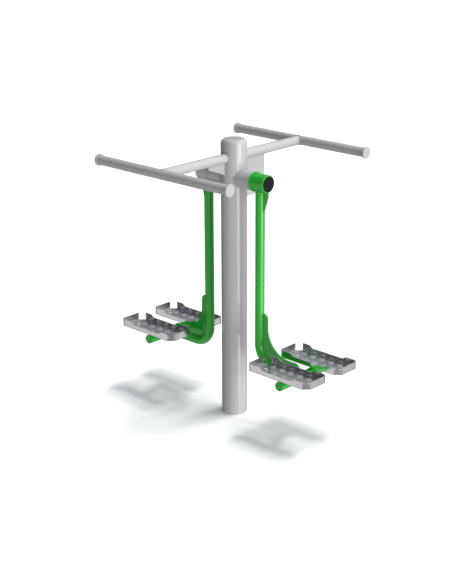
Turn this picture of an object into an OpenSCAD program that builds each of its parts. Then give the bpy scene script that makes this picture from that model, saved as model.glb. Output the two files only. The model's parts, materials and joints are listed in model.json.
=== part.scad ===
// Outdoor double pendulum: a post with a cross arm and two handlebars, and two foot pendulums that swing
// sideways on a level pivot line. X runs along the pivots, Y along the cross arm, Z up from the ground.

/* [Post] */
// Outside diameter of the post tube
post_d = 139.7; // [120:0.1:160]
// Wall of the post tube
post_wall = 4; // [3:0.5:8]
// Height of the straight tube over the ground
post_h = 1530; // [1515:1:1700]
// Radius of the domed cap's shoulder
cap_round = 27; // [15:1:35]

/* [Cross arm] */
// Outside diameter of the arm and handlebar tubes
bar_d = 51; // [42:0.1:60]
// Wall of the arm and handlebar tubes
bar_wall = 3.2; // [2:0.1:5]
// Drop from the post tube's top to the arm's axis
arm_drop = 70; // [50:1:100]
// Distance from the post's axis to a handlebar's axis
arm_reach = 528; // [420:1:650]
// Overall length of a handlebar with its caps
bar_len = 941; // [600:1:1200]
// Diameter of a handlebar cap
bar_cap_d = 62.6; // [56:0.1:70]
// Thickness of a handlebar cap
bar_cap_t = 10; // [6:0.5:16]
// Rounding of a handlebar cap's edge
bar_cap_round = 2.5; // [1:0.5:3]
// Depth of a cap's collar inside the handlebar
bar_cap_collar = 24; // [10:1:40]

/* [Plates on the post] */
// Thickness of the gusset under the left arm
arm_gusset_t = 6; // [4:0.5:10]
// Length of that gusset along the arm
arm_gusset_len = 124; // [80:1:160]
// Height of that gusset along the post
arm_gusset_drop = 64; // [40:1:100]
// Upright edge of that gusset under the arm
arm_gusset_edge = 16; // [5:1:30]
// Thickness of the information plate
info_t = 5; // [3:0.5:8]
// Width of the information plate, from the post outward
info_w = 168; // [120:1:220]
// Height of the information plate under the arm
info_h = 209; // [120:1:260]

/* [Pivots] */
// Drop from the arm's axis to the pivot line
pivot_drop = 110; // [95:1:160]
// Outside diameter of the stub tubes
stub_d = 101.6; // [98:0.1:120]
// Wall of the stub tubes
stub_wall = 4; // [3:0.5:6]
// Distance from the post's axis to a stub's outer end
stub_end = 148; // [130:1:160]
// Thickness of the plates that hold an axle in its stub
stub_plate_t = 10; // [6:0.5:12]
// Gap between a stub and its turning hub
pivot_gap = 3; // [1:0.5:6]
// Diameter of the axles
axle_d = 40; // [38:0.5:44]
// Outside diameter of the front hub
hub_d = 95; // [92:0.5:100]
// Diameter of the front hub's inner flange
hub_flange_d = 105; // [101:0.5:120]
// Thickness of the front hub's inner flange
hub_flange_t = 6; // [4:0.5:10]
// Distance from the post's axis to the front hub's outer end
front_hub_end = 243; // [235:1:280]
// Outside diameter of the rear hub sleeve
sleeve_d = 108; // [98:0.5:120]
// Distance from the post's axis to the rear hub's outer end
rear_hub_end = 238; // [228:1:270]
// Chamfer of both hubs' outer ends
hub_chamfer = 3; // [1:0.5:3]
// Diameter of the plugs' visible discs
plug_d = 82.8; // [82:0.1:88]
// Thickness of the plugs' visible discs
plug_t = 3; // [2:0.5:6]

/* [Bearings] */
// Outside diameter of a bearing
bearing_d = 80; // [78:0.5:82]
// Width of a bearing
bearing_w = 18; // [14:0.5:20]
// Diameter of a ball
ball_d = 11.9; // [10:0.1:12.5]
// Number of balls in a bearing
ball_count = 9; // [7:1:10]
// Running clearance of the balls in the outer ring
run_gap = 0.05; // [0.03:0.01:0.08]

/* [Pendulums] */
// Distance from the post's axis to a leg's axis
leg_x = 187; // [182:1:200]
// Outside diameter of the pendulum tubes
leg_d = 51; // [42:0.1:55]
// Wall of the pendulum tubes
leg_wall = 3.2; // [2.5:0.1:5]
// Centre-line radius of a leg's bend
bend_r = 103; // [80:1:130]
// Distance from the post's axis to the cross tubes
cross_x = 492; // [470:1:520]
// Length of a cross tube with its end discs
cross_len = 380; // [300:1:420]
// Thickness of the cross tubes' end discs
disc_t = 4; // [3:0.5:8]
// Thickness of the gussets and the ribs on the legs
web_t = 8; // [5:0.5:12]
// Drop from the pivot line to the lower end of a hub gusset's upright edge
hub_gusset_edge = 72; // [66:1:100]
// Drop from the pivot line to a hub gusset's tip
hub_gusset_drop = 150; // [120:1:180]
// Width of a hub gusset's blunt tip beside the leg
hub_gusset_tip = 5; // [3:0.5:10]
// Width of a bend rib beside the tube
rib_w = 34; // [20:1:50]
// Radius of a bend rib's hollow edge
rib_r = 150; // [120:1:180]
// Reach of a bend rib up the leg
rib_reach = 285; // [250:1:300]
// Distance from a bend rib's end to the cross tube's axis
rib_gap = 20; // [15:1:40]
// Rounding of a bend rib's ends
rib_end_r = 30; // [10:1:34]

/* [Foot trays] */
// Distance from the post's axis to a tray's middle
tray_x = 492; // [485:0.5:520]
// Height of a tray's underside
tray_z = 386; // [340:1:450]
// Length of a tray
tray_l = 408; // [360:1:440]
// Width of a tray
tray_w = 164; // [130:1:180]
// Gap between the two trays of a pendulum
tray_gap = 92; // [80:1:140]
// Sheet thickness of a tray
tray_t = 3; // [2:0.5:4]
// Outside radius of a tray's folds
tray_fold = 7; // [5:0.5:10]
// Outside radius of a tray's closed corners
tray_corner = 26; // [10:0.5:27]
// Height of the long walls in the middle
wall_low = 29; // [16:1:32]
// Height of the short walls and of the long walls' ends
wall_high = 43; // [38:1:55]
// Length of the high ends of the long walls
wall_end = 72; // [50:1:100]
// Length of the slope between high and low wall
wall_slope = 36; // [30:1:50]
// Length and width of the open corners' bevel
notch = 28; // [28:1:40]
// Thickness of the bar under a tray
rail_t = 12; // [8:0.5:20]
// Width of the bar under a tray
rail_w = 40; // [30:1:60]
// Length of the bar under a tray
rail_l = 340; // [320:1:360]
// Distance from a tray's end to its bolts
bolt_in = 59; // [50:1:65]
// Diameter of the tray bolts
bolt_d = 8; // [6:0.5:10]
// Diameter of the tray bolts' round heads
bolt_head_d = 18; // [14:0.5:22]
// Height of the tray bolts' round heads
bolt_head_h = 4.5; // [3:0.5:6]

/* [Hidden] */
$fn = 96;

// Colours
grey = [0.75, 0.75, 0.76];
cap_grey = [0.82, 0.83, 0.84];
green = [0.22, 0.62, 0.24];
black = [0.1, 0.1, 0.1];
sheet = [0.62, 0.64, 0.66];
steel = [0.55, 0.56, 0.58];

// One overrun for all cuts
cut = 5;
// Slip between a collar and the tube that it goes into
slip = 0.2;
// Trim at the thin tips of a tube that is coped to one of its own size
cope_tip = 2;
// Slip of a ring on its shaft or in its housing
ring_slip = 0.02;

// Post and arm
arm_z = post_h - arm_drop;
pivot_z = arm_z - pivot_drop;
post_r = post_d / 2;
bar_r = bar_d / 2;
cap_shoulder = post_r - cap_round;
bar_tube_half = bar_len / 2 - bar_cap_t;

// Pivots, with distances along the axle from the post's axis
inner_plate_x = post_r + stub_plate_t;
hub_start = stub_end + pivot_gap;
hub_bore_r = bearing_d / 2 + ring_slip;
flange_r = hub_flange_d / 2;
// Lead of the first bearing behind the hub's inner end
bearing_lead = 9;
bearing_a = hub_start + bearing_lead;
// Room at a hub's outer end for the nut and the plug
nut_room = 38;
// Height of the shoulders between the bearings
shoulder = 4;
race_r = axle_d / 2 + ring_slip;
pitch_r = (axle_d + bearing_d) / 4;
// Height of a ring's rib beside the balls
race_rib = 3.6;
collar_wall = 5;
washer_t = 2;
washer_d = 58;
nut_t = 11;
nut_d = 55;
// Axle end beyond its nut
axle_over = 2;
plug_wall = 3;
plug_depth = 9;

// Pendulum
leg_r = leg_d / 2;
foot_z = tray_z - rail_t - leg_r;
rib_foot = cross_x - leg_x - rib_gap;
tray_y = tray_gap / 2 + tray_w / 2;
bolt_x = tray_l / 2 - bolt_in;
nut_h = 6.5;
nut_af = 13;
bolt_over = 2;

// A cylinder along +X from start to end
module x_cylinder(r, from, to) {
    translate([from, 0, 0])
        rotate([0, 90, 0])
            cylinder(h = to - from, r = r);
}

// A ring along +X
module x_ring(r_out, r_in, from, to) {
    difference() {
        x_cylinder(r_out, from, to);
        x_cylinder(r_in, from - cut, to + cut);
    }
}

// Puts a piece at the pivot, facing the front (side 1) or turned half round to the rear (side -1)
module at_pivot(side) {
    translate([0, 0, pivot_z])
        rotate([0, 0, side > 0 ? 0 : 180])
            children();
}

// Turns a pendulum piece to the front or the rear
module turned(side) {
    rotate([0, 0, side > 0 ? 0 : 180])
        children();
}

function hub_end(side) = side > 0 ? front_hub_end : rear_hub_end;
function hub_r(side) = side > 0 ? hub_d / 2 : sleeve_d / 2;
function bearing_b(side) = hub_end(side) - nut_room;

// Upright tube of the post, with the arms' and the stubs' places left whole
module post() {
    color(grey)
        difference() {
            cylinder(h = post_h, r = post_r);
            translate([0, 0, -cut])
                cylinder(h = post_h + 2 * cut, r = post_r - post_wall);
        }
}

// Domed cap with a flat crown and a round shoulder, as thick as the post's wall
module post_cap() {
    inner = cap_round - post_wall;
    color(grey)
        translate([0, 0, post_h])
            rotate_extrude()
                difference() {
                    union() {
                        square([cap_shoulder, cap_round]);
                        intersection() {
                            translate([cap_shoulder, 0])
                                circle(r = cap_round);
                            square([post_r, cap_round]);
                        }
                    }
                    square([cap_shoulder, inner]);
                    intersection() {
                        translate([cap_shoulder, 0])
                            circle(r = inner);
                        square([post_r, inner]);
                    }
                }
}

// Arm tube, coped to the post and to its handlebar
module arm(dir) {
    color(grey)
        difference() {
            translate([0, 0, arm_z])
                rotate([-dir * 90, 0, 0])
                    difference() {
                        cylinder(h = arm_reach - cope_tip, r = bar_r);
                        cylinder(h = arm_reach, r = bar_r - bar_wall);
                    }
            cylinder(h = post_h, r = post_r);
            translate([0, dir * arm_reach, arm_z])
                x_cylinder(bar_r, -bar_d, bar_d);
        }
}

module left_arm() {
    arm(-1);
}

module right_arm() {
    arm(1);
}

// Handlebar tube
module handlebar(dir) {
    color(grey)
        translate([0, dir * arm_reach, arm_z])
            x_ring(bar_r, bar_r - bar_wall, -bar_tube_half, bar_tube_half);
}

module left_handlebar() {
    handlebar(-1);
}

module right_handlebar() {
    handlebar(1);
}

// Cap with a rounded edge and a collar that goes into the tube, drawn along +Z
module bar_cap() {
    cap_r = bar_cap_d / 2;
    collar_r = bar_r - bar_wall - slip;
    rotate_extrude() {
        translate([0, -bar_cap_collar])
            difference() {
                square([collar_r, bar_cap_collar]);
                translate([0, -cut])
                    square([collar_r - bar_wall, bar_cap_collar + cut]);
            }
        square([cap_r, bar_cap_t - bar_cap_round]);
        square([cap_r - bar_cap_round, bar_cap_t]);
        translate([cap_r - bar_cap_round, bar_cap_t - bar_cap_round])
            circle(r = bar_cap_round);
    }
}

module handlebar_caps() {
    color(cap_grey)
        for (dir = [-1, 1])
            for (end = [-1, 1])
                translate([end * bar_tube_half, dir * arm_reach, arm_z])
                    rotate([0, end * 90, 0])
                        bar_cap();
}

// Triangular plate under the left arm
module arm_gusset() {
    top = arm_z;
    under = arm_z - bar_r;
    end = -post_r - arm_gusset_len;
    color(grey)
        difference() {
            rotate([90, 0, 90])
                linear_extrude(arm_gusset_t, center = true)
                    polygon([[0, top], [end, top], [end, under - arm_gusset_edge],
                        [-post_r, under - arm_gusset_drop], [0, under - arm_gusset_drop]]);
            cylinder(h = post_h, r = post_r);
            translate([0, 0, arm_z])
                rotate([90, 0, 0])
                    cylinder(h = arm_reach, r = bar_r);
        }
}

// Plain rectangular plate under the right arm
module info_plate() {
    under = arm_z - bar_r;
    color(grey)
        difference() {
            translate([-info_t / 2, 0, under - info_h])
                cube([info_t, post_r + info_w, info_h + bar_r]);
            cylinder(h = post_h, r = post_r);
            translate([0, 0, arm_z])
                rotate([-90, 0, 0])
                    cylinder(h = arm_reach, r = bar_r);
        }
}

// Stub tube, coped to the post
module stub(side) {
    color(grey)
        difference() {
            at_pivot(side)
                x_ring(stub_d / 2, stub_d / 2 - stub_wall, 0, stub_end);
            cylinder(h = post_h, r = post_r);
        }
}

module front_stub() {
    stub(1);
}

module rear_stub() {
    stub(-1);
}

// Two round plates in each stub, bored for the axle
module stub_plates() {
    r = stub_d / 2 - stub_wall - ring_slip;
    color(grey)
        for (side = [-1, 1])
            at_pivot(side) {
                x_ring(r, race_r, inner_plate_x, inner_plate_x + stub_plate_t);
                x_ring(r, race_r, stub_end - stub_plate_t, stub_end);
            }
}

// Axles, each with a chamfered outer end
module pivot_axles() {
    color(steel)
        for (side = [-1, 1])
            at_pivot(side)
                rotate([0, 90, 0])
                    rotate_extrude()
                        polygon([[0, inner_plate_x], [axle_d / 2, inner_plate_x],
                            [axle_d / 2, axle_end(side) - axle_over], [axle_d / 2 - axle_over, axle_end(side)],
                            [0, axle_end(side)]]);
}

function nut_x(side) = bearing_b(side) + bearing_w + washer_t;
function axle_end(side) = nut_x(side) + nut_t + axle_over;

// Collars between the stubs and the first bearings
module axle_collars() {
    color(steel)
        for (side = [-1, 1])
            at_pivot(side)
                x_ring(race_r + collar_wall, race_r, stub_end, bearing_a);
}

// Ball track cut in a ring
module track(r) {
    rotate([0, 90, 0])
        rotate_extrude()
            translate([pitch_r, 0])
                circle(r = r);
}

// Inner rings of the four bearings
module bearing_inner_rings() {
    color(steel)
        for (side = [-1, 1])
            at_pivot(side)
                for (x = [bearing_a, bearing_b(side)])
                    difference() {
                        x_ring(pitch_r - race_rib, race_r, x, x + bearing_w);
                        translate([x + bearing_w / 2, 0, 0])
                            track(ball_d / 2 + ring_slip);
                    }
}

// Balls of the four bearings
module bearing_balls() {
    color(steel)
        for (side = [-1, 1])
            at_pivot(side)
                for (x = [bearing_a, bearing_b(side)])
                    for (i = [0 : ball_count - 1])
                        translate([x + bearing_w / 2, 0, 0])
                            rotate([i * 360 / ball_count, 0, 0])
                                translate([0, 0, pitch_r])
                                    sphere(d = ball_d, $fn = 24);
}

// Spacers between the inner rings
module axle_spacers() {
    color(steel)
        for (side = [-1, 1])
            at_pivot(side)
                x_ring(race_r + collar_wall, race_r, bearing_a + bearing_w, bearing_b(side));
}

module axle_washers() {
    color(steel)
        for (side = [-1, 1])
            at_pivot(side)
                x_ring(washer_d / 2, race_r, bearing_b(side) + bearing_w, nut_x(side));
}

// Slotted round nuts
module axle_nuts() {
    slots = 6;
    slot_w = 7;
    slot_depth = 4;
    color(steel)
        for (side = [-1, 1])
            at_pivot(side)
                difference() {
                    x_ring(nut_d / 2, race_r, nut_x(side), nut_x(side) + nut_t);
                    for (i = [0 : slots - 1])
                        rotate([i * 360 / slots, 0, 0])
                            translate([nut_x(side) - cut, -slot_w / 2, nut_d / 2 - slot_depth])
                                cube([nut_t + 2 * cut, slot_w, slot_depth + cut]);
                }
}

// Bearing housing: chamfered at its outer end and bored for the bearings, with a shoulder between them
module housing(side, r_out, flange) {
    at_pivot(side)
        difference() {
            union() {
                x_cylinder(r_out, hub_start, hub_end(side) - hub_chamfer);
                translate([hub_end(side) - hub_chamfer, 0, 0])
                    rotate([0, 90, 0])
                        cylinder(h = hub_chamfer, r1 = r_out, r2 = r_out - hub_chamfer);
                if (flange)
                    x_cylinder(flange_r, hub_start, hub_start + hub_flange_t);
            }
            x_cylinder(hub_bore_r, hub_start - cut, bearing_a + bearing_w);
            x_cylinder(hub_bore_r - shoulder, hub_start, hub_end(side));
            x_cylinder(hub_bore_r, bearing_b(side), hub_end(side) + cut);
        }
}

module front_hub() {
    color(green)
        housing(1, hub_d / 2, true);
}

module rear_hub() {
    color(grey)
        housing(-1, sleeve_d / 2, false);
}

// Round plug: a disc over the hub's end and a collar in its bore
module plug(side) {
    collar_r = hub_bore_r - slip;
    color(black)
        at_pivot(side) {
            x_cylinder(plug_d / 2, hub_end(side), hub_end(side) + plug_t);
            x_ring(collar_r, collar_r - plug_wall, hub_end(side) - plug_depth, hub_end(side));
        }
}

module front_hub_plug() {
    plug(1);
}

module rear_hub_plug() {
    plug(-1);
}

// Outer rings of a pendulum's two bearings
module outer_rings(side) {
    color(steel)
        at_pivot(side)
            for (x = [bearing_a, bearing_b(side)])
                difference() {
                    x_ring(bearing_d / 2, pitch_r + race_rib, x, x + bearing_w);
                    translate([x + bearing_w / 2, 0, 0])
                        track(ball_d / 2 + run_gap);
                }
}

module front_outer_rings() {
    outer_rings(1);
}

module rear_outer_rings() {
    outer_rings(-1);
}

// Solid along a leg: down from the pivot, round the bend and out along the foot
module leg_solid(r) {
    translate([leg_x, 0, foot_z + bend_r])
        cylinder(h = pivot_z - foot_z - bend_r, r = r);
    translate([leg_x + bend_r, 0, foot_z + bend_r])
        rotate([90, 0, 0])
            rotate([0, 0, 180])
                rotate_extrude(angle = 90)
                    translate([bend_r, 0])
                        circle(r = r);
    translate([0, 0, foot_z])
        x_cylinder(r, leg_x + bend_r, cross_x);
}

// Leg tube in three lengths, coped to the hub and to the cross tube
module leg(side) {
    bore_r = leg_r - leg_wall;
    color(green)
        turned(side) {
            difference() {
                translate([leg_x, 0, foot_z + bend_r])
                    cylinder(h = pivot_z - foot_z - bend_r, r = leg_r);
                translate([leg_x, 0, foot_z + bend_r - cut])
                    cylinder(h = pivot_z - foot_z, r = bore_r);
                translate([0, 0, pivot_z])
                    x_cylinder(hub_r(side), 0, cross_x);
            }
            translate([leg_x + bend_r, 0, foot_z + bend_r])
                rotate([90, 0, 0])
                    rotate([0, 0, 180])
                        rotate_extrude(angle = 90)
                            translate([bend_r, 0])
                                difference() {
                                    circle(r = leg_r);
                                    circle(r = bore_r);
                                }
            difference() {
                translate([0, 0, foot_z])
                    x_ring(leg_r, bore_r, leg_x + bend_r, cross_x - cope_tip);
                translate([cross_x, 0, foot_z])
                    rotate([90, 0, 0])
                        cylinder(h = 2 * leg_d, r = leg_r, center = true);
            }
        }
}

module front_leg() {
    leg(1);
}

module rear_leg() {
    leg(-1);
}

// Tapered plate between a hub's underside and its leg, flush with the hub's outer end
module hub_gusset(side) {
    out = hub_end(side);
    tip_z = pivot_z - hub_gusset_drop;
    tip_x = leg_x + leg_r + hub_gusset_tip;
    color(green)
        turned(side)
            difference() {
                rotate([90, 0, 0])
                    linear_extrude(web_t, center = true)
                        polygon([[leg_x, pivot_z], [out, pivot_z], [out, pivot_z - hub_gusset_edge],
                            [tip_x, tip_z], [leg_x, tip_z]]);
                translate([0, 0, pivot_z])
                    x_cylinder(hub_r(side), 0, cross_x);
                translate([leg_x, 0, foot_z])
                    cylinder(h = pivot_z - foot_z, r = leg_r);
            }
}

module front_hub_gusset() {
    hub_gusset(1);
}

module rear_hub_gusset() {
    hub_gusset(-1);
}

// Outline of a bend rib, from the crossing of the leg's and the foot's axes
module rib_outline() {
    w = leg_r + rib_w;
    c = w + rib_r;
    e = rib_end_r;
    difference() {
        union() {
            square([w, rib_reach]);
            square([rib_foot, w]);
            square([c, c]);
        }
        translate([c, c])
            circle(r = rib_r);
        difference() {
            square([bend_r, bend_r]);
            translate([bend_r, bend_r])
                circle(r = bend_r);
        }
        difference() {
            translate([w - e, rib_reach - e])
                square([e + cut, e + cut]);
            translate([w - e, rib_reach - e])
                circle(r = e);
        }
        difference() {
            translate([rib_foot - e, w - e])
                square([e + cut, e + cut]);
            translate([rib_foot - e, w - e])
                circle(r = e);
        }
    }
}

// Rib on the inside of a leg's bend
module bend_rib(side) {
    color(green)
        turned(side)
            difference() {
                translate([leg_x, 0, foot_z])
                    rotate([90, 0, 0])
                        linear_extrude(web_t, center = true)
                            rib_outline();
                leg_solid(leg_r);
            }
}

module front_bend_rib() {
    bend_rib(1);
}

module rear_bend_rib() {
    bend_rib(-1);
}

// Cross tube under both trays
module cross_tube(side) {
    half = cross_len / 2 - disc_t;
    color(green)
        turned(side)
            translate([cross_x, 0, foot_z])
                rotate([90, 0, 0])
                    difference() {
                        cylinder(h = 2 * half, r = leg_r, center = true);
                        cylinder(h = cross_len, r = leg_r - leg_wall, center = true);
                    }
}

module front_cross_tube() {
    cross_tube(1);
}

module rear_cross_tube() {
    cross_tube(-1);
}

module tube_discs(side) {
    color(green)
        turned(side)
            for (end = [-1, 1])
                translate([cross_x, end * (cross_len - disc_t) / 2, foot_z])
                    rotate([90, 0, 0])
                        cylinder(h = disc_t, r = leg_r, center = true);
}

module front_tube_discs() {
    tube_discs(1);
}

module rear_tube_discs() {
    tube_discs(-1);
}

// Block with rounded lower edges and upright corners, centred, from z = 0 up
module tray_block(l, w, h, fold, corner) {
    intersection() {
        rotate([90, 0, 0])
            linear_extrude(w, center = true)
                fold_profile(l, h, fold);
        rotate([90, 0, 90])
            linear_extrude(l, center = true)
                fold_profile(w, h, fold);
        linear_extrude(h)
            round_plan(l, w, corner);
    }
}

// Upright outline with its two lower corners rounded
module fold_profile(w, h, r) {
    translate([-w / 2, r])
        square([w, h - r]);
    translate([r - w / 2, 0])
        square([w - 2 * r, h]);
    for (end = [-1, 1])
        translate([end * (w / 2 - r), r])
            circle(r = r);
}

// Rectangle with rounded corners
module round_plan(l, w, r) {
    square([l - 2 * r, w], center = true);
    square([l, w - 2 * r], center = true);
    for (x = [-1, 1])
        for (y = [-1, 1])
            translate([x * (l / 2 - r), y * (w / 2 - r)])
                circle(r = r);
}

// Room over the walls, as seen from the side: low in the middle, with an S slope up to the ends
module wall_cutter() {
    low = tray_l / 2 - wall_end - wall_slope;
    rise = wall_high - wall_low;
    // Each half of the slope is an arc that is level where it meets the straight edge
    arc = (wall_slope * wall_slope / 4 + rise * rise / 4) / rise;
    rotate([90, 0, 0])
        linear_extrude(tray_w + 2 * cut, center = true)
            difference() {
                union() {
                    translate([-low - wall_slope / 2, wall_low])
                        square([2 * low + wall_slope, wall_high - wall_low + cut]);
                    for (end = [-1, 1])
                        intersection() {
                            translate([end * (low + wall_slope), wall_high - arc])
                                difference() {
                                    square([2 * wall_slope, 2 * arc + 2 * cut], center = true);
                                    circle(r = arc);
                                }
                            translate([end * (low + 3 * wall_slope / 4), wall_high])
                                square([wall_slope / 2, 2 * rise + 2 * cut], center = true);
                        }
                }
                for (end = [-1, 1])
                    difference() {
                        translate([end * (low + wall_slope / 4), wall_low + rise / 4])
                            square([wall_slope / 2, rise / 2], center = true);
                        translate([end * low, wall_low + arc])
                            circle(r = arc);
                    }
            }
}

// Foot tray: folded sheet with low long walls, high ends and two open corners
module tray() {
    inner_l = tray_l - 2 * tray_t;
    inner_w = tray_w - 2 * tray_t;
    difference() {
        tray_block(tray_l, tray_w, wall_high, tray_fold, tray_corner);
        translate([0, 0, tray_t])
            tray_block(inner_l, inner_w, wall_high, tray_fold - tray_t, tray_corner - tray_t);
        wall_cutter();
        for (turn = [0, 180])
            rotate([0, 0, turn])
                translate([tray_l / 2, -tray_w / 2, wall_high / 2])
                    rotate([0, 0, 45])
                        cube([notch * sqrt(2), 2 * notch, wall_high + 2 * cut], center = true);
        for (end = [-1, 1])
            translate([end * bolt_x, 0, -cut])
                cylinder(h = tray_t + 2 * cut, d = bolt_d + 2 * slip);
    }
}

module place_tray(side, dir) {
    color(sheet)
        translate([side * tray_x, dir * tray_y, tray_z])
            tray();
}

module front_left_tray() {
    place_tray(1, -1);
}

module front_right_tray() {
    place_tray(1, 1);
}

module rear_left_tray() {
    place_tray(-1, -1);
}

module rear_right_tray() {
    place_tray(-1, 1);
}

// Flat bars under the trays, bored for the bolts
module tray_rails(side) {
    color(green)
        for (dir = [-1, 1])
            translate([side * tray_x, dir * tray_y, tray_z - rail_t])
                difference() {
                    translate([-rail_l / 2, -rail_w / 2, 0])
                        cube([rail_l, rail_w, rail_t]);
                    for (end = [-1, 1])
                        translate([end * bolt_x, 0, -cut])
                            cylinder(h = rail_t + 2 * cut, d = bolt_d + 2 * slip);
                }
}

module front_tray_rails() {
    tray_rails(1);
}

module rear_tray_rails() {
    tray_rails(-1);
}

// Puts a piece at each bolt of a pendulum
module at_bolts(side) {
    for (dir = [-1, 1])
        for (end = [-1, 1])
            translate([side * tray_x + end * bolt_x, dir * tray_y, tray_z + tray_t])
                children();
}

// Bolt with a low round head
module tray_bolts(side) {
    head_r = bolt_head_d / 2;
    dome_r = (head_r * head_r + bolt_head_h * bolt_head_h) / (2 * bolt_head_h);
    color(steel)
        at_bolts(side) {
            intersection() {
                translate([0, 0, bolt_head_h - dome_r])
                    sphere(r = dome_r);
                cylinder(h = bolt_head_h + cut, r = bolt_head_d);
            }
            translate([0, 0, -tray_t - rail_t - nut_h - bolt_over])
                cylinder(h = tray_t + rail_t + nut_h + bolt_over, d = bolt_d);
        }
}

module front_tray_bolts() {
    tray_bolts(1);
}

module rear_tray_bolts() {
    tray_bolts(-1);
}

module tray_nuts(side) {
    color(steel)
        at_bolts(side)
            translate([0, 0, -tray_t - rail_t - nut_h])
                difference() {
                    cylinder(h = nut_h, d = nut_af / cos(30), $fn = 6);
                    translate([0, 0, -cut])
                        cylinder(h = nut_h + 2 * cut, d = bolt_d + 2 * ring_slip);
                }
}

module front_tray_nuts() {
    tray_nuts(1);
}

module rear_tray_nuts() {
    tray_nuts(-1);
}

post();
post_cap();
left_arm();
right_arm();
left_handlebar();
right_handlebar();
handlebar_caps();
arm_gusset();
info_plate();
front_stub();
rear_stub();
stub_plates();
pivot_axles();
axle_collars();
bearing_inner_rings();
bearing_balls();
axle_spacers();
axle_washers();
axle_nuts();
front_hub();
front_hub_plug();
front_outer_rings();
front_leg();
front_hub_gusset();
front_bend_rib();
front_cross_tube();
front_tube_discs();
front_left_tray();
front_right_tray();
front_tray_rails();
front_tray_bolts();
front_tray_nuts();
rear_hub();
rear_hub_plug();
rear_outer_rings();
rear_leg();
rear_hub_gusset();
rear_bend_rib();
rear_cross_tube();
rear_tube_discs();
rear_left_tray();
rear_right_tray();
rear_tray_rails();
rear_tray_bolts();
rear_tray_nuts();
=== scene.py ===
# %% [markdown]
# This notebook dresses an outdoor exercise station: a steel post with a cross arm, and two foot
# pendulums that hang from it on ball bearings. The solids come in finished and in metres, so the
# work here is the camera, the light, the finishes, and the small raised things that solids are
# too coarse for: the tread bars on the foot trays and the weld beads at the joints.

# %% Load the solids
import itertools
import json
import math
import bmesh
import bpy
from mathutils import Matrix, Vector


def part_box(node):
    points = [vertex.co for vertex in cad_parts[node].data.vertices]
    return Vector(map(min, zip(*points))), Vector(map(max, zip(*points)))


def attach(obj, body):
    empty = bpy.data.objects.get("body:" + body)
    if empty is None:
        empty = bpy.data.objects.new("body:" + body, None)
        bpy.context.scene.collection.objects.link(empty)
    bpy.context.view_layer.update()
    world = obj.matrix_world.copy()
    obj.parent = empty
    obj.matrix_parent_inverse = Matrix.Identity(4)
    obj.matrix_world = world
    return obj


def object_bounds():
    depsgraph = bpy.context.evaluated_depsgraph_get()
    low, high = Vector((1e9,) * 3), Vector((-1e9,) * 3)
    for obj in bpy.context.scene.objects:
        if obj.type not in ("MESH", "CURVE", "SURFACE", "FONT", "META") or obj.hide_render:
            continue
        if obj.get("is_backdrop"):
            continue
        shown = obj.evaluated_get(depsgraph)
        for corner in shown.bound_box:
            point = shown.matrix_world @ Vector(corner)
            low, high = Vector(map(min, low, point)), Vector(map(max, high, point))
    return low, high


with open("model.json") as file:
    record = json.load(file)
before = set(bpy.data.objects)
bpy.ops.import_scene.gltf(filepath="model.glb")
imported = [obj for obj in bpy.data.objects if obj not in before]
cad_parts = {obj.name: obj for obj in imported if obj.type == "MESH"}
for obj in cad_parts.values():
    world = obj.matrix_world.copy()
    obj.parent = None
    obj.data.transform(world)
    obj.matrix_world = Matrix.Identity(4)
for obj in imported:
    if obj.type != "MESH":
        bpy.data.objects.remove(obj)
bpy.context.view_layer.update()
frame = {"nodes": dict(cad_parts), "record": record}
scene = bpy.context.scene
MM = 0.001

# %% [markdown]
# The camera was fitted to the edges of the handlebars, the post and the trays, so it is given
# here as a place, a forward and a right direction. A long lens keeps the uprights almost
# parallel. Building the matrix from two directions is exact, where a Track To constraint would
# lose the small roll.

# %% Camera
SENSOR_MM = 36
LENS_MM = 78.15
CAMERA_AT = Vector((4.4557, -4.7578, 3.0103))
FORWARD = Vector((-0.64915, 0.68358, -0.33364)).normalized()
RIGHT = Vector((0.72629, 0.68737, -0.00477)).normalized()
camera_data = bpy.data.cameras.new("camera")
camera_data.sensor_width = SENSOR_MM
camera_data.lens = LENS_MM
camera = bpy.data.objects.new("camera", camera_data)
scene.collection.objects.link(camera)
camera_turn = Matrix((RIGHT, RIGHT.cross(FORWARD), -FORWARD)).transposed().to_4x4()
camera.matrix_world = Matrix.Translation(CAMERA_AT) @ camera_turn
scene.camera = camera
print("camera stands", round(CAMERA_AT.length, 2), "m from the foot of the post")

# %% [markdown]
# A studio picture of painted steel lives from what its tubes reflect. Three lamps stand high up
# on the right, one nearly overhead and two further back, and throw the soft shadows under the
# trays. A fourth, much wider one stands low beyond the front pendulum. It gives each upright its
# bright right flank and the post its highlight. A sun lamp with a wide angle acts as a softbox
# that is far away, so the light is even from top to bottom. The high lamps stay out of
# reflections, or the bright trays would flash white when seen from above.

# %% Lamps
WARM = (1.0, 0.985, 0.965)
LAMP_DISTANCE = 6
MIRRORED = "low_softbox"
# Name, strength, width, and where the lamp stands: round and up, all three in degrees
LAMPS = (
    ("overhead_wide", 1.22, 13, 42, 75),
    ("overhead_narrow", 0.7, 8, 73, 69),
    ("overhead_back", 0.27, 8, 82, 55),
    ("low_softbox", 2.7, 46, 0, -1.5),
)


def add_sun(name, strength, width, turn, rise):
    lamp = bpy.data.objects.new(name, bpy.data.lights.new(name, "SUN"))
    lamp.data.energy = strength
    lamp.data.angle = math.radians(width)
    lamp.data.color = WARM
    turn, rise = math.radians(turn), math.radians(rise)
    flat = math.cos(rise)
    towards = Vector((math.cos(turn) * flat, math.sin(turn) * flat, math.sin(rise)))
    lamp.location = LAMP_DISTANCE * towards
    lamp.rotation_euler = towards.to_track_quat("Z", "Y").to_euler()
    scene.collection.objects.link(lamp)
    lamp.visible_glossy = name == MIRRORED
    print("lamp:", name, "strength", strength, "width", width, "degrees")


for lamp_values in LAMPS:
    add_sun(*lamp_values)

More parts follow.
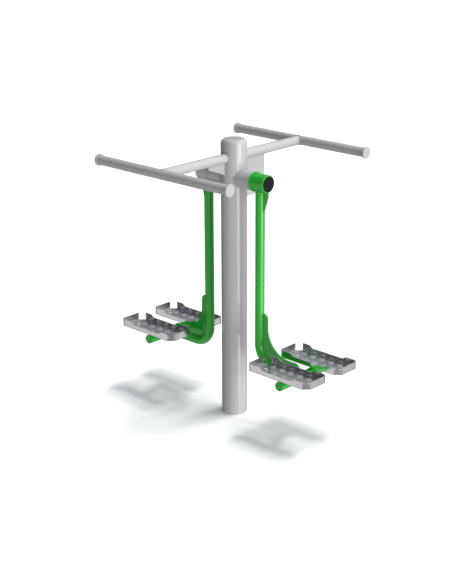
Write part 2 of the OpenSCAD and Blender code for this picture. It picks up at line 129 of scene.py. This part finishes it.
# %% [markdown]
# The upper sky is bright overhead and on the right and nearly black on the left, which draws the
# dark inner walls of the trays. Below the horizon it is the pale paper that the metal reflects,
# and it darkens beyond the post, which gives the tubes their dark edges.
#
# Each half is one colour ramp along one direction. A dot product with that direction runs from
# -1, away from it, to 1, towards it. A new ramp comes with two stops, which take the two ends.

# %% Sky helpers
def wire(tree, out, socket):
    tree.links.new(out, socket)


def node_of(tree, kind, **values):
    made = tree.nodes.new(kind)
    for key, value in values.items():
        setattr(made, key, value)
    return made


def sky_band(tree, way, towards, ends, between):
    """A ramp along one direction. Each stop is a place from -1 to 1 and a colour."""
    lean = node_of(tree, "ShaderNodeVectorMath", operation="DOT_PRODUCT")
    lean.inputs[1].default_value = Vector(towards).normalized()
    wire(tree, way, lean.inputs[0])
    rescale = node_of(tree, "ShaderNodeMapRange")
    rescale.inputs["From Min"].default_value = -1
    wire(tree, lean.outputs["Value"], rescale.inputs["Value"])
    ramp = node_of(tree, "ShaderNodeValToRGB")
    stops = ramp.color_ramp.elements
    for stop, (place, colour) in zip(list(stops), ends):
        stop.position = (place + 1) / 2
        stop.color = (*colour, 1)
    for place, colour in between:
        stop = stops.new((place + 1) / 2)
        stop.color = (*colour, 1)
    wire(tree, rescale.outputs["Result"], ramp.inputs["Fac"])
    return ramp.outputs["Color"]


print("a sky band runs from -1, away, to 1, towards")

# %% Two bands that meet at the horizon
ABOVE_WAY = (0.35, 0.5, 0.8)
ABOVE_ENDS = ((-0.34, (0.03, 0.033, 0.042)), (0.85, (0.96, 1.0, 1.04)))
ABOVE_BETWEEN = ((0.3, (0.17, 0.18, 0.21)),)
BELOW_WAY = (0.7, -0.7, 0.0)
BELOW_ENDS = ((-1.0, (0.08, 0.09, 0.11)), (0.95, (0.95, 0.92, 0.92)))
BELOW_BETWEEN = (
    (-0.5, (0.2, 0.21, 0.24)),
    (0.0, (0.88, 0.85, 0.85)),
    (0.6, (0.72, 0.72, 0.73)),
)
HORIZON = 0.04
world = bpy.data.worlds.new("studio_sky")
world.use_nodes = True
scene.world = world
sky = world.node_tree
sky.nodes.clear()
way = node_of(sky, "ShaderNodeTexCoord").outputs["Generated"]
above = sky_band(sky, way, ABOVE_WAY, ABOVE_ENDS, ABOVE_BETWEEN)
below = sky_band(sky, way, BELOW_WAY, BELOW_ENDS, BELOW_BETWEEN)
split = node_of(sky, "ShaderNodeSeparateXYZ")
wire(sky, way, split.inputs[0])
over = node_of(sky, "ShaderNodeMapRange")
over.inputs["From Min"].default_value = -HORIZON
over.inputs["From Max"].default_value = HORIZON
wire(sky, split.outputs["Z"], over.inputs["Value"])
join = node_of(sky, "ShaderNodeMix", data_type="RGBA")
wire(sky, over.outputs["Result"], join.inputs[0])
wire(sky, below, join.inputs[6])
wire(sky, above, join.inputs[7])
print("the bands meet within", HORIZON, "of the horizon")

# %% [markdown]
# The camera itself sees plain white behind the object, and only light and reflections see the
# bands. A Light Path node tells the two kinds of rays apart, so the background costs no extra
# light.

# %% White for the camera
WHITE = (1, 1, 1, 1)
lit = node_of(sky, "ShaderNodeBackground")
wire(sky, join.outputs[2], lit.inputs["Color"])
seen = node_of(sky, "ShaderNodeBackground")
seen.inputs["Color"].default_value = WHITE
rays = node_of(sky, "ShaderNodeLightPath")
pick = node_of(sky, "ShaderNodeMixShader")
wire(sky, rays.outputs["Is Camera Ray"], pick.inputs["Fac"])
wire(sky, lit.outputs[0], pick.inputs[1])
wire(sky, seen.outputs[0], pick.inputs[2])
wire(sky, pick.outputs[0], node_of(sky, "ShaderNodeOutputWorld").inputs["Surface"])
scene.view_settings.view_transform = "Standard"
print("sky nodes:", len(sky.nodes))

# %% [markdown]
# The floor is one large plain disc of white paper, and only the camera sees it. Reflections and
# soft light find the pale lower sky in its place, so it doesn't block the low softbox, whose
# lower half is beneath the horizon. It still receives the shadows of the object.

# %% Floor
FLOOR_RADIUS = 60
FLOOR_SIDES = 96
PAPER_WHITE = (0.985, 0.985, 0.985, 1)


def new_mesh_object(name, shape):
    mesh = bpy.data.meshes.new(name)
    shape.to_mesh(mesh)
    shape.free()
    made = bpy.data.objects.new(name, mesh)
    scene.collection.objects.link(made)
    return made


shape = bmesh.new()
bmesh.ops.create_circle(shape, cap_ends=True, segments=FLOOR_SIDES, radius=FLOOR_RADIUS)
floor = new_mesh_object("floor", shape)
floor.visible_glossy = False
floor.visible_diffuse = False
floor.visible_shadow = False
paper = bpy.data.materials.new("white_paper")
paper.use_nodes = True
tree = paper.node_tree
tree.nodes.clear()
pale = node_of(tree, "ShaderNodeBsdfDiffuse")
pale.inputs["Color"].default_value = PAPER_WHITE
wire(tree, pale.outputs[0], node_of(tree, "ShaderNodeOutputMaterial").inputs["Surface"])
floor.data.materials.append(paper)
floor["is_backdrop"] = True
print("floor radius", FLOOR_RADIUS, "m")

# %% [markdown]
# Every finish below starts from one shader and Object coordinates, which stay put when a pendulum
# swings. The plain colour goes on the shader's socket too, for programs that can't follow the
# nodes.

# %% Start of a finish
def start_finish(name, colour, metal, rough):
    finish = bpy.data.materials.new(name)
    finish.use_nodes = True
    tree = finish.node_tree
    shader = tree.nodes["Principled BSDF"]
    shader.inputs["Base Color"].default_value = (*colour, 1)
    shader.inputs["Metallic"].default_value = metal
    shader.inputs["Roughness"].default_value = rough
    coords = node_of(tree, "ShaderNodeTexCoord").outputs["Object"]
    return finish, tree, shader, coords


print("every finish starts from a Principled BSDF")

# %% [markdown]
# Wear, clouds and grain all come from noise. Object coordinates are in metres, so a scale of 900
# makes grains of about a millimetre, and a stretch along one axis turns grains into lines. A
# noise stays mostly between 0.35 and 0.65, so that span is what gets stretched to the range that
# is wanted.

# %% Noise and ranges
NOISE_LOW, NOISE_HIGH = 0.35, 0.65


def noise(tree, coords, scale, detail=2.0, stretch=None):
    if stretch:
        mapping = node_of(tree, "ShaderNodeMapping")
        mapping.inputs["Scale"].default_value = stretch
        wire(tree, coords, mapping.inputs["Vector"])
        coords = mapping.outputs["Vector"]
    made = node_of(tree, "ShaderNodeTexNoise")
    made.inputs["Scale"].default_value = scale
    made.inputs["Detail"].default_value = detail
    wire(tree, coords, made.inputs["Vector"])
    return made.outputs["Fac"]


def to_range(tree, value, low, high, start=NOISE_LOW, end=NOISE_HIGH):
    made = node_of(tree, "ShaderNodeMapRange")
    made.inputs["From Min"].default_value = start
    made.inputs["From Max"].default_value = end
    made.inputs["To Min"].default_value = low
    made.inputs["To Max"].default_value = high
    wire(tree, value, made.inputs["Value"])
    return made.outputs["Result"]


print("a noise is stretched from", NOISE_LOW, "to", NOISE_HIGH)

# %% [markdown]
# The rest are small tools: colours mixed by a share, two values combined, how far a face looks
# up, and a bump, which tilts the shading by a height and leaves the shape alone.

# %% Colours, masks and bumps
def mix_colour(tree, share, first, second):
    made = node_of(tree, "ShaderNodeMix", data_type="RGBA")
    wire(tree, share, made.inputs[0])
    for socket, colour in ((made.inputs[6], first), (made.inputs[7], second)):
        if isinstance(colour, tuple):
            socket.default_value = (*colour, 1)
        else:
            wire(tree, colour, socket)
    return made.outputs[2]


def combine(tree, operation, first, second):
    made = node_of(tree, "ShaderNodeMath", operation=operation)
    wire(tree, first, made.inputs[0])
    wire(tree, second, made.inputs[1])
    return made.outputs[0]


def upward_part(tree, normal):
    split = node_of(tree, "ShaderNodeSeparateXYZ")
    wire(tree, normal, split.inputs[0])
    return split.outputs["Z"]


def bump(tree, shader, height, strength, distance):
    made = node_of(tree, "ShaderNodeBump")
    made.inputs["Strength"].default_value = strength
    made.inputs["Distance"].default_value = distance
    wire(tree, height, made.inputs["Height"])
    wire(tree, made.outputs[0], shader.inputs["Normal"])


def tinted(colour, share):
    return tuple(min(1.0, c * share) for c in colour)


print("white at half its tint:", tinted((1.0, 1.0, 1.0), 0.5))

# %% [markdown]
# Powder coat is thick plastic paint, baked on. It shows a faint orange peel, wanders a little in
# tone, and its gloss is soft. Rain leaves pale dust on faces that look up, which the surface
# normal finds.

# %% Powder coat
DUST = (0.5, 0.49, 0.47)
PEEL_SCALE = 420.0


def powder_coat(name, colour, rough, dust):
    finish, tree, shader, coords = start_finish(name, colour, metal=0.0, rough=rough)
    clouds = to_range(tree, noise(tree, coords, scale=3.1, detail=4.0), low=0.0, high=1.0)
    base = mix_colour(tree, clouds, tinted(colour, 0.975), tinted(colour, 1.025))
    peel = noise(tree, coords, scale=PEEL_SCALE, detail=1.0)
    specks = to_range(tree, peel, low=0.0, high=0.25, start=0.64, end=0.8)
    base = mix_colour(tree, specks, base, tinted(colour, 0.75))
    facing = node_of(tree, "ShaderNodeNewGeometry").outputs["Normal"]
    upward = to_range(tree, upward_part(tree, facing), low=0.0, high=dust, start=0.5, end=1.0)
    patches = to_range(tree, noise(tree, coords, scale=19.0, detail=5.0), low=0.3, high=1.0)
    base = mix_colour(tree, combine(tree, "MULTIPLY", upward, patches), base, DUST)
    wire(tree, base, shader.inputs["Base Color"])
    gloss = noise(tree, coords, scale=9.0, detail=3.0)
    gloss = to_range(tree, gloss, low=rough - 0.03, high=rough + 0.05)
    wire(tree, gloss, shader.inputs["Roughness"])
    bump(tree, shader, peel, strength=0.06, distance=0.5 * MM)
    return finish


grey_coat = powder_coat("grey_powder_coat", (0.405, 0.405, 0.41), rough=0.13, dust=0.03)
cap_coat = powder_coat("pale_powder_coat", (0.4, 0.4, 0.405), rough=0.26, dust=0.03)
green_coat = powder_coat("leaf_green_powder_coat", (0.012, 0.385, 0.02), rough=0.16, dust=0.005)
# The weld finishes are the coats made darker, which paints shade into the joints of the tubes.
grey_bead_shaded = powder_coat("grey_weld_painted_shade", (0.32, 0.32, 0.325), rough=0.26, dust=0.03)
green_bead_shaded = powder_coat("green_weld_painted_shade", (0.01, 0.3, 0.017), rough=0.24, dust=0.005)
print("powder coats:", grey_coat.name, cap_coat.name, green_coat.name)

# %% [markdown]
# The foot trays are bent from bright tread plate. It mirrors the room softly: the outer walls
# show the pale paper and the inner ones the dark side of the studio, so it needs a clean metal
# with little roughness. Rolling leaves very fine lines along the sheet. Shoes scuff it and dull
# the faces that look up, which the normal in object space finds at any pose. The same mask also
# paints a bluish shade into those faces, which darkens the reflection of the tray floor.

# %% Tray sheet
# Painted shade: a bluish dark mixed into the faces that look up, darkening the floor's
# reflection.
PAINTED_FLOOR_SHADE = (0.1, 0.105, 0.12)
# How far faces that look up are dulled in roughness and given the painted shade.
DULL_AND_SHADE_SHARE = 0.22


def rolled_steel(name, colour, rough):
    finish, tree, shader, coords = start_finish(name, colour, metal=1.0, rough=rough)
    clouds = noise(tree, coords, scale=14.0, detail=4.0)
    clouds = to_range(tree, clouds, low=0.0, high=1.0, start=0.3, end=0.7)
    base = mix_colour(tree, clouds, tinted(colour, 0.94), tinted(colour, 1.04))
    scuffs = noise(tree, coords, scale=1.0, detail=3.0, stretch=(40, 500, 40))
    scuffs = to_range(tree, scuffs, low=0.0, high=0.35, start=0.62, end=0.78)
    base = mix_colour(tree, scuffs, base, tinted(colour, 0.8))
    facing = node_of(tree, "ShaderNodeTexCoord").outputs["Normal"]
    upward = upward_part(tree, facing)
    # One upward mask raises the roughness as real dulling and mixes in the painted floor shade.
    trodden_and_shaded = to_range(tree, upward, low=0.0, high=DULL_AND_SHADE_SHARE, start=0.6, end=0.95)
    wire(tree, mix_colour(tree, trodden_and_shaded, base, PAINTED_FLOOR_SHADE), shader.inputs["Base Color"])
    gloss = noise(tree, coords, scale=30.0, detail=4.0)
    gloss = to_range(tree, gloss, low=rough - 0.04, high=rough + 0.08)
    wire(tree, combine(tree, "ADD", gloss, trodden_and_shaded), shader.inputs["Roughness"])
    rolling = noise(tree, coords, scale=1.0, stretch=(18, 1800, 1800))
    bump(tree, shader, rolling, strength=0.05, distance=0.3 * MM)
    return finish


tray_steel = rolled_steel("bright_tread_sheet", (0.64, 0.625, 0.63), rough=0.14)
tread_steel = rolled_steel("worn_tread_bar", (0.64, 0.63, 0.64), rough=0.12)
print("sheet:", tray_steel.name, tread_steel.name)

# %% [markdown]
# Turned, ground and plated steel differ mostly in roughness and in the marks of the tool: turning
# leaves rings round the axle, while grinding and plating leave an even grain.

# %% Metals
def machined(name, colour, rough, marks, depth):
    finish, tree, shader, coords = start_finish(name, colour, metal=1.0, rough=rough)
    wander = to_range(tree, noise(tree, coords, scale=34.0, detail=4.0), low=0.0, high=1.0)
    base = mix_colour(tree, wander, tinted(colour, 0.88), tinted(colour, 1.08))
    wire(tree, base, shader.inputs["Base Color"])
    gloss = noise(tree, coords, scale=70.0, detail=3.0)
    gloss = to_range(tree, gloss, low=rough - 0.06, high=rough + 0.08)
    wire(tree, gloss, shader.inputs["Roughness"])
    grain = noise(tree, coords, scale=1.0, stretch=marks)
    bump(tree, shader, grain, strength=depth, distance=0.3 * MM)
    return finish


axle_metal = machined("turned_axle_steel", (0.5, 0.5, 0.52), rough=0.3,
                      marks=(3000, 40, 40), depth=0.15)
bearing_metal = machined("ground_bearing_steel", (0.62, 0.62, 0.64), rough=0.14,
                         marks=(1500, 1500, 1500), depth=0.03)
zinc = machined("zinc_plated_steel", (0.88, 0.88, 0.87), rough=0.2,
                marks=(900, 900, 900), depth=0.1)
print("metals:", axle_metal.name, bearing_metal.name, zinc.name)

# %% [markdown]
# The plugs that close the hubs are moulded plastic with a fine spark-eroded grain. Such a grain
# scatters the light, so the plug needs less specular reflection than smooth plastic to stay deep
# black.

# %% Plug plastic
PLUG_BLACK = (0.005, 0.006, 0.0055)
PLUG_DARK, PLUG_WORN = (0.004, 0.0048, 0.0044), (0.007, 0.0084, 0.0077)
PLUG_SPECULAR = 0.14
plug_plastic, tree, shader, coords = start_finish("black_moulded_plastic", PLUG_BLACK,
                                                  metal=0.0, rough=0.3)
shader.inputs["Specular IOR Level"].default_value = PLUG_SPECULAR
tone = to_range(tree, noise(tree, coords, scale=40.0, detail=4.0), low=0.0, high=1.0)
tone = mix_colour(tree, tone, PLUG_DARK, PLUG_WORN)
wire(tree, tone, shader.inputs["Base Color"])
gloss = to_range(tree, noise(tree, coords, scale=90.0), low=0.26, high=0.4)
wire(tree, gloss, shader.inputs["Roughness"])
bump(tree, shader, noise(tree, coords, scale=1600.0), strength=0.25, distance=0.3 * MM)
print("plastic:", plug_plastic.name)

# %% [markdown]
# Each solid names its finish in the part's own record, so one table from slot to material dresses
# them all.

# %% Put the finishes on the solids
FINISH_OF = {
    "grey_paint": grey_coat,
    "cap_paint": cap_coat,
    "green_paint": green_coat,
    "tread_plate": tray_steel,
    "plug_plastic": plug_plastic,
    "axle_steel": axle_metal,
    "bearing_steel": bearing_metal,
    "fixings": zinc,
}
slot_of = {part["node"]: part["material_slot"] for part in frame["record"]["subparts"]}
for name, piece in frame["nodes"].items():
    piece.data.materials.clear()
    piece.data.materials.append(FINISH_OF[slot_of[name]])
print("finished nodes:", len(slot_of))

# %% [markdown]
# Tread plate carries groups of five raised bars at 45 degrees, each group turned a quarter
# against its neighbours, so a sole grips in every direction. One bar is an oval with sloping
# flanks: a low cone of unit size, flattened to its real length, width and height. It is made once
# and copied, because a bump map would leave the pattern flat in close views. Its foot is sunk in
# the sheet, so it needs no face.

# %% One tread bar
BAR_LENGTH = 36 * MM
BAR_WIDTH = 4.8 * MM
BAR_HEIGHT = 1.1 * MM
BAR_SIDES = 14
FOOT_R, TOP_R = 0.5, 0.3
TOP_ROUNDING = 0.03


def tread_bar():
    shape = bmesh.new()
    bmesh.ops.create_cone(shape, cap_ends=True, segments=BAR_SIDES, radius1=FOOT_R, radius2=TOP_R,
                          depth=1.0)
    bmesh.ops.translate(shape, verts=shape.verts, vec=(0, 0, 0.5))
    rim = [e for e in shape.edges if all(v.co.z > 0.9 for v in e.verts)]
    bmesh.ops.bevel(shape, geom=rim, offset=TOP_ROUNDING, offset_type="OFFSET", segments=1,
                    profile=0.5, affect="EDGES", material=-1)
    foot = [f for f in shape.faces if all(v.co.z < 0.01 for v in f.verts)]
    bmesh.ops.delete(shape, geom=foot, context="FACES")
    bmesh.ops.scale(shape, verts=shape.verts, vec=(BAR_LENGTH, BAR_WIDTH, BAR_HEIGHT))
    mesh = bpy.data.meshes.new("tread_bar")
    shape.to_mesh(mesh)
    shape.free()
    return mesh


bar_mesh = tread_bar()
print("faces in one bar:", len(bar_mesh.polygons))

# %% [markdown]
# Bars stop short of the folds, the corners and the bolts, as if the pattern had been pressed flat
# there. So each bar is walked along in small steps, and only the stretches on the flat floor are
# kept. A tray has two open corners and two closed ones, each pair across from one another.

# %% Where the tray floor is flat
FOLD_ROOM = 9 * MM
OPEN_CORNER = 28 * MM
CLOSED_CORNER = 26 * MM
BOLT_IN = 59 * MM
BOLT_ROOM = 13 * MM
STEPS_PER_BAR = 36
FEWEST_SPOTS = 9


def on_flat_floor(spot, half):
    """Whether a spot, measured from the middle of a tray of that half size, is flat and free."""
    to_end, to_side = half.x - abs(spot.x), half.y - abs(spot.y)
    if min(to_end, to_side) < FOLD_ROOM:
        return False
    if spot.x * spot.y < 0 and to_end + to_side < OPEN_CORNER + FOLD_ROOM:
        return False
    past = Vector((max(0, CLOSED_CORNER - to_end), max(0, CLOSED_CORNER - to_side)))
    if past.length > CLOSED_CORNER - FOLD_ROOM:
        return False
    bolt = Vector((math.copysign(half.x - BOLT_IN, spot.x), 0))
    return (spot - bolt).length > BOLT_ROOM


def flat_stretches(centre, along, half):
    """The parts of one bar that lie on the flat floor, as middle and length."""
    step = BAR_LENGTH / STEPS_PER_BAR
    runs, run = [], []
    for i in range(STEPS_PER_BAR + 1):
        spot = centre + along * ((i - STEPS_PER_BAR // 2) * step)
        if on_flat_floor(spot, half):
            run.append(spot)
        elif run:
            runs.append(run)
            run = []
    runs.append(run)
    return [((r[0] + r[-1]) / 2, (r[-1] - r[0]).length) for r in runs if len(r) >= FEWEST_SPOTS]


shortest = (FEWEST_SPOTS - 1) * BAR_LENGTH / STEPS_PER_BAR
print("a bar is kept from", round(shortest / MM, 1), "mm long")

# %% [markdown]
# The groups sit on a square grid that is turned by 45 degrees, and every second one is turned a
# quarter. Each copy of the bar is moved, turned and shortened straight in one bmesh, so the
# finished piece sits at the origin as the solids do. The rear trays are turned half round, and so
# is their pattern.

# %% Cover the four tray floors
SHEET = 3 * MM
SINK = 0.1 * MM
GROUP = 44 * MM
GROUPS_OUT = 9
BAR_PITCH = 8.6 * MM
BARS_EACH_SIDE = 2
# From the middle of a front tray to where the pattern starts
PATTERN_START = Vector((26 * MM, 10 * MM))


def bar_places(half, start):
    """Middle, angle and length of every bar on one tray floor."""
    places = []
    for i, j in itertools.product(range(-GROUPS_OUT, GROUPS_OUT + 1), repeat=2):
        centre = start + Vector((i + j, i - j)) * (GROUP / math.sqrt(2))
        angle = math.radians(45 if (i + j) % 2 else -45)
        along = Vector((math.cos(angle), math.sin(angle)))
        across = Vector((-along.y, along.x))
        for k in range(-BARS_EACH_SIDE, BARS_EACH_SIDE + 1):
            for spot, length in flat_stretches(centre + across * (k * BAR_PITCH), along, half):
                places.append((spot, angle, length))
    return places


def tread(node, body, start):
    low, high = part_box(node)
    mid = (low + high) / 2
    places = bar_places(Vector(((high.x - low.x) / 2, (high.y - low.y) / 2)), start)
    shape = bmesh.new()
    for spot, angle, length in places:
        before = set(shape.verts)
        shape.from_mesh(bar_mesh)
        fresh = [v for v in shape.verts if v not in before]
        move = Matrix.Translation((mid.x + spot.x, mid.y + spot.y, low.z + SHEET - SINK))
        spin = Matrix.Rotation(angle, 4, "Z")
        shrink = Matrix.Diagonal((length / BAR_LENGTH, 1, 1, 1))
        bmesh.ops.transform(shape, matrix=move @ spin @ shrink, verts=fresh)
    piece = new_mesh_object(node.replace("_tray", "_tread_bars"), shape)
    piece.data.materials.append(tread_steel)
    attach(piece, body)
    print(piece.name, "bars:", len(places), "faces:", len(piece.data.polygons))


for body, half_turn in (("front_pendulum", 1), ("rear_pendulum", -1)):
    for side in ("left", "right"):
        tread(body.replace("pendulum", side + "_tray"), body, half_turn * PATTERN_START)

# %% [markdown]
# Each tray bolt has a button head with a hexagon socket. The socket isn't cut: the shade in its
# recess is painted as a thin dark hexagon on the crown of the head, a tenth of a millimetre proud
# so that it doesn't flicker against the steel. The painted shade wanders a little in tone.

# %% Bolt sockets, painted as shade
SOCKET_R = 3.4 * MM
SOCKET_SIDES = 6
PROUD = 0.1 * MM
# The deep and the paler tone of the painted socket shade.
SOCKET_SHADE_DEEP, SOCKET_SHADE_PALE = (0.012, 0.012, 0.014), (0.04, 0.038, 0.036)
socket_shade_finish, tree, shader, coords = start_finish("socket_shade_paint", (0.02, 0.02, 0.022),
                                                  metal=0.6, rough=0.4)
# The painted shade wanders at random between its two tones.
shade_tone = to_range(tree, noise(tree, coords, scale=300.0, detail=3.0), low=0.0, high=1.0)
shade_tone = mix_colour(tree, shade_tone, SOCKET_SHADE_DEEP, SOCKET_SHADE_PALE)
wire(tree, shade_tone, shader.inputs["Base Color"])
bump(tree, shader, noise(tree, coords, scale=900.0), strength=0.2, distance=0.3 * MM)
for body in ("front_pendulum", "rear_pendulum"):
    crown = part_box(body.replace("pendulum", "tray_bolts"))[1].z
    shape = bmesh.new()
    for side, way in itertools.product(("left", "right"), (-1, 1)):
        low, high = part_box(body.replace("pendulum", side + "_tray"))
        x = (low.x + high.x) / 2 + way * ((high.x - low.x) / 2 - BOLT_IN)
        spot = Matrix.Translation((x, (low.y + high.y) / 2, crown + PROUD))
        bmesh.ops.create_circle(shape, cap_ends=True, segments=SOCKET_SIDES, radius=SOCKET_R,
                                matrix=spot)
    piece = new_mesh_object(body.replace("pendulum", "bolt_socket_shades"), shape)
    piece.data.materials.append(socket_shade_finish)
    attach(piece, body)
    print(piece.name, "faces:", len(piece.data.polygons))

# %% [markdown]
# The frame is welded. A weld bead is a small round ridge in the corner where two tubes meet, with
# a ripple for each drop of steel. Its line is where two slightly fatter tubes would cross, so it
# sits in the corner all round. Points at an even distance along that line make the ripples even
# too.

# %% The line of a bead
BEAD = 3.2 * MM
SMALL_BEAD = BEAD * 0.8
PLATE_BEAD = BEAD * 0.75
LIFT = 1.1 * MM
RIPPLE = 4.2 * MM
RIPPLE_SHARE = 0.1
STEP = 1.05 * MM
RING_POINTS = 180


def even_steps(points, closed):
    """The same line with a point every STEP, so that the ripples are even."""
    line = points + points[:1] if closed else points
    spaced, left = [line[0]], STEP
    for start, end in zip(line, line[1:]):
        span = (end - start).length
        while span >= left and span > 0:
            start = start.lerp(end, left / span)
            spaced.append(start)
            span -= left
            left = STEP
        left -= span
    return spaced


def ring(place):
    return [Vector(place(2 * math.pi * i / RING_POINTS)) for i in range(RING_POINTS)]


print("a bead is", BEAD / MM, "mm, with a ripple every", RIPPLE / MM, "mm")

# %% [markdown]
# A curve with a round bevel draws the bead, and its radius grows and shrinks along the line for
# the ripples. All the beads of one body share one curve, which is turned into a mesh at the end.

# %% One mesh of beads
BEVEL_STEPS = 2


def weld(name, lines, body, finish):
    """One mesh of all the beads on a body. Each line is points, closed or not, and a radius."""
    curve = bpy.data.curves.new(name, "CURVE")
    curve.dimensions = "3D"
    curve.bevel_depth = 1.0
    curve.bevel_resolution = BEVEL_STEPS
    curve.use_fill_caps = True
    for points, closed, radius in lines:
        spaced = even_steps(points, closed)
        spline = curve.splines.new("POLY")
        spline.points.add(len(spaced) - 1)
        for i, point in enumerate(spaced):
            wave = 1 + RIPPLE_SHARE * math.cos(2 * math.pi * i * STEP / RIPPLE)
            spline.points[i].co = (*point, 1)
            spline.points[i].radius = radius * wave
        spline.use_cyclic_u = closed
    holder = bpy.data.objects.new(name + "_line", curve)
    scene.collection.objects.link(holder)
    shaped = holder.evaluated_get(bpy.context.evaluated_depsgraph_get())
    mesh = bpy.data.meshes.new_from_object(shaped)
    bpy.data.objects.remove(holder)
    for face in mesh.polygons:
        face.use_smooth = True
    mesh.materials.clear()
    mesh.materials.append(finish)
    piece = bpy.data.objects.new(name, mesh)
    scene.collection.objects.link(piece)
    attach(piece, body)
    print(name, "lines:", len(lines), "faces:", len(mesh.polygons))


print("sides of a bead:", 2 * BEVEL_STEPS + 4)

# %% [markdown]
# On the frame, beads run round both ends of each arm tube and round each stub where it meets the
# post. The gusset and the information plate have a bead on both faces, down the post and out
# along the arm.

# %% Where the tubes of the frame meet
POST_R = 69.85 * MM
TUBE_R = 25.5 * MM
STUB_R = 50.8 * MM
ARM_Z = 1460 * MM
PIVOT_Z = 1350 * MM
ARM_REACH = 528 * MM
post, tube, stub = POST_R + LIFT, TUBE_R + LIFT, STUB_R + LIFT


def arm_at_post(t, way):
    x = tube * math.cos(t)
    return x, way * math.sqrt(post ** 2 - x ** 2), ARM_Z + tube * math.sin(t)


def arm_at_handlebar(t, way):
    x = tube * math.cos(t)
    return x, way * (ARM_REACH - abs(x)), ARM_Z + tube * math.sin(t)


def stub_at_post(t, way):
    y = stub * math.cos(t)
    return way * math.sqrt(post ** 2 - y ** 2), y, PIVOT_Z + stub * math.sin(t)


print("an arm's bead starts at", [round(v, 4) for v in arm_at_post(0, 1)])

# %% Beads on the frame
# Side of the post, reach from it, drop below the arm, and half the thickness
PLATES = (
    (-1, 124 * MM, 64 * MM, 3 * MM),
    (1, 168 * MM, 209 * MM, 2.5 * MM),
)
lines = []
for way in (-1, 1):
    lines.append((ring(lambda t: arm_at_post(t, way)), True, BEAD))
    lines.append((ring(lambda t: arm_at_handlebar(t, way)), True, SMALL_BEAD))
    lines.append((ring(lambda t: stub_at_post(t, way)), True, BEAD))
for way, reach, drop, half_t in PLATES:
    for face in (-1, 1):
        x = face * (half_t + LIFT)
        y = way * math.sqrt(post ** 2 - x ** 2)
        z = ARM_Z - math.sqrt(tube ** 2 - x ** 2)
        low_end = Vector((x, y, ARM_Z - TUBE_R - drop + BEAD))
        far_end = Vector((x, way * (POST_R + reach - BEAD), z))
        lines.append(([low_end, Vector((x, y, z)), far_end], False, PLATE_BEAD))
weld("frame_weld_beads", lines, "frame", grey_bead_shaded)

# %% [markdown]
# Both pendulums have the same beads, apart from the size of the hub: round the top of the leg,
# round its foot, on both faces of the gusset and of the rib in the bend, and along the rails
# under the trays. They are worked out for the front one, and turned half round for the rear one.

# %% Where the tubes and plates of a pendulum meet
LEG_X = 187 * MM
FOOT_Z = 348.5 * MM
CROSS_X = 492 * MM
BEND_R = 103 * MM
BEND_STEPS = 32
HALF_WEB = 4 * MM
RIB_REACH = 285 * MM
GUSSET_DROP = 150 * MM


def leg_at_hub(t, hub):
    y = tube * math.sin(t)
    return LEG_X + tube * math.cos(t), y, PIVOT_Z - math.sqrt(hub ** 2 - y ** 2)


def leg_at_cross_tube(t):
    y = tube * math.cos(t)
    return CROSS_X - abs(y), y, FOOT_Z + tube * math.sin(t)


def plate_lines(y, hub, hub_end):
    """The bead along the gusset and the one along the rib in the bend, on the face at y."""
    flank = math.sqrt(tube ** 2 - y ** 2)
    under = PIVOT_Z - math.sqrt(hub ** 2 - y ** 2)
    gusset = [
        Vector((LEG_X + flank, y, PIVOT_Z - GUSSET_DROP)),
        Vector((LEG_X + flank, y, under)),
        Vector((hub_end - 2 * BEAD, y, under)),
    ]
    rib = [Vector((LEG_X + flank, y, FOOT_Z + RIB_REACH - BEAD))]
    for i in range(BEND_STEPS + 1):
        turn = math.pi + math.pi / 2 * i / BEND_STEPS
        rib.append(Vector((LEG_X + BEND_R + (BEND_R - flank) * math.cos(turn), y,
                           FOOT_Z + BEND_R + (BEND_R - flank) * math.sin(turn))))
    rib.append(Vector((LEG_X + RIB_REACH - BEAD, y, FOOT_Z + flank)))
    return [(gusset, False, PLATE_BEAD), (rib, False, PLATE_BEAD)]


print("the foot's bead starts at", [round(v, 4) for v in leg_at_cross_tube(0)])

# %% Beads on the pendulums
TRAY_Y = 128 * MM
RAIL_HALF_LENGTH = 20 * MM
RAIL_HALF_WIDTH = 10 * MM
RAIL_BEAD_Z = 372.6 * MM


def pendulum_welds(side, hub_r, hub_end):
    hub = hub_r + LIFT
    lines = [
        (ring(lambda t: leg_at_hub(t, hub)), True, BEAD),
        (ring(leg_at_cross_tube), True, SMALL_BEAD),
    ]
    for face in (-1, 1):
        lines += plate_lines(face * (HALF_WEB + LIFT), hub, hub_end)
        for way in (-1, 1):
            x = CROSS_X + way * RAIL_HALF_WIDTH
            ends = [Vector((x, face * TRAY_Y + end * RAIL_HALF_LENGTH, RAIL_BEAD_Z))
                    for end in (-1, 1)]
            lines.append((ends, False, SMALL_BEAD))
    return [([Vector((side * p.x, side * p.y, p.z)) for p in points], closed, radius)
            for points, closed, radius in lines]


front_lines = pendulum_welds(1, hub_r=47.5 * MM, hub_end=243 * MM)
rear_lines = pendulum_welds(-1, hub_r=54 * MM, hub_end=238 * MM)
weld("front_weld_beads", front_lines, "front_pendulum", green_bead_shaded)
weld("rear_weld_beads", rear_lines, "rear_pendulum", green_bead_shaded)

# %% [markdown]
# This prints the box of everything that is there now, the floor left out.

# %% Sizes and finish
low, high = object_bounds()
print("dressed box:", [round(v, 4) for v in (*low, *high)])
